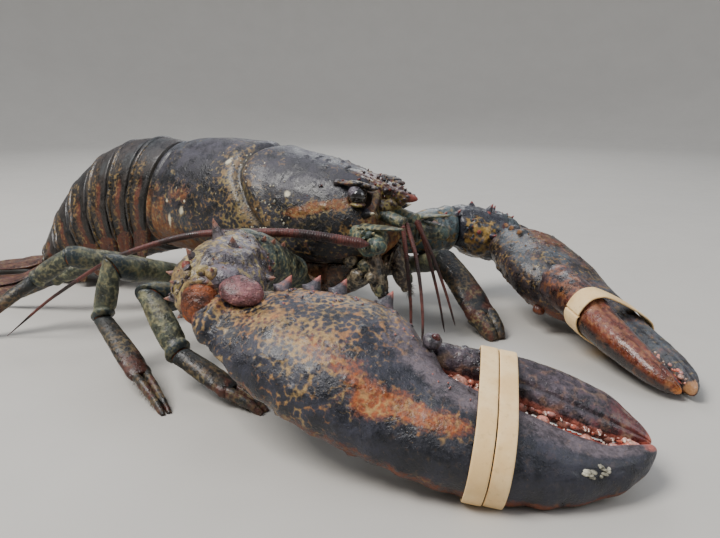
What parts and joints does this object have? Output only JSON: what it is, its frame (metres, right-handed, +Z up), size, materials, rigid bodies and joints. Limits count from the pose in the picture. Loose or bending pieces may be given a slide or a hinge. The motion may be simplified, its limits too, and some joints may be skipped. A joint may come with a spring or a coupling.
{
  "type": "american lobster",
  "caption": "Life-size standing figure of a clawed lobster: banded crusher and cutter claws, walking legs, long feelers, plated tail and tail fan.",
  "frame": {"origin": "middle of the footprint's bounding box, on the floor", "axes": "+Z up; +X forward, from the tail towards the claws; +Y to the animal's left"},
  "size_m": [0.7652, 0.461, 0.163],
  "materials": {
    "carapace_shell": "wet, glossy shell, slate and blue-black with olive and yellow mottling",
    "tail_shell": "glossy shell plates, dark with rust and orange bands at the sides",
    "claw_shell": "glossy claw shell, slate and mauve with tan, orange and rust mottling",
    "limb_shell": "olive and green-grey limb shell with dark joints and tips",
    "belly_shell": "pale rust-brown underside",
    "feeler": "maroon-brown feelers",
    "eye": "polished near-black eye",
    "rubber_band": "smooth cream rubber"
  },
  "bodies": {
    "root": {"antenna_L": "feeler", "antenna_R": "feeler", "antenna_base_L": "limb_shell", "antenna_base_R": "limb_shell", "antennule_L": "feeler", "antennule_R": "feeler", "arm_L_first": "claw_shell", "arm_L_upper": "claw_shell", "arm_L_wrist": "claw_shell", "arm_R_first": "claw_shell", "arm_R_upper": "claw_shell", "arm_R_wrist": "claw_shell", "band_L": "rubber_band", "band_R_1": "rubber_band", "band_R_2": "rubber_band", "carapace": "carapace_shell", "claw_L_finger": "claw_shell", "claw_L_palm": "claw_shell", "claw_R_finger": "claw_shell", "claw_R_palm": "claw_shell", "eye_L": "eye", "eye_R": "eye", "eyestalk_L": "limb_shell", "eyestalk_R": "limb_shell", "leg_L1_foot": "limb_shell", "leg_L1_middle": "limb_shell", "leg_L1_upper": "limb_shell", "leg_L2_foot": "limb_shell", "leg_L2_middle": "limb_shell", "leg_L2_upper": "limb_shell", "leg_L3_foot": "limb_shell", "leg_L3_middle": "limb_shell", "leg_L3_upper": "limb_shell", "leg_L4_foot": "limb_shell", "leg_L4_middle": "limb_shell", "leg_L4_upper": "limb_shell", "leg_R1_foot": "limb_shell", "leg_R1_middle": "limb_shell", "leg_R1_upper": "limb_shell", "leg_R2_foot": "limb_shell", "leg_R2_middle": "limb_shell", "leg_R2_upper": "limb_shell", "leg_R3_foot": "limb_shell", "leg_R3_middle": "limb_shell", "leg_R3_upper": "limb_shell", "leg_R4_foot": "limb_shell", "leg_R4_middle": "limb_shell", "leg_R4_upper": "limb_shell", "mouth_limb_L": "limb_shell", "mouth_limb_R": "limb_shell", "tail_1": "tail_shell", "tail_2": "tail_shell", "tail_3": "tail_shell", "tail_4": "tail_shell", "tail_5": "tail_shell", "tail_6": "tail_shell", "telson": "tail_shell", "thorax_underside": "belly_shell", "uropod_L": "tail_shell", "uropod_R": "tail_shell"}
  },
  "joints": []
}
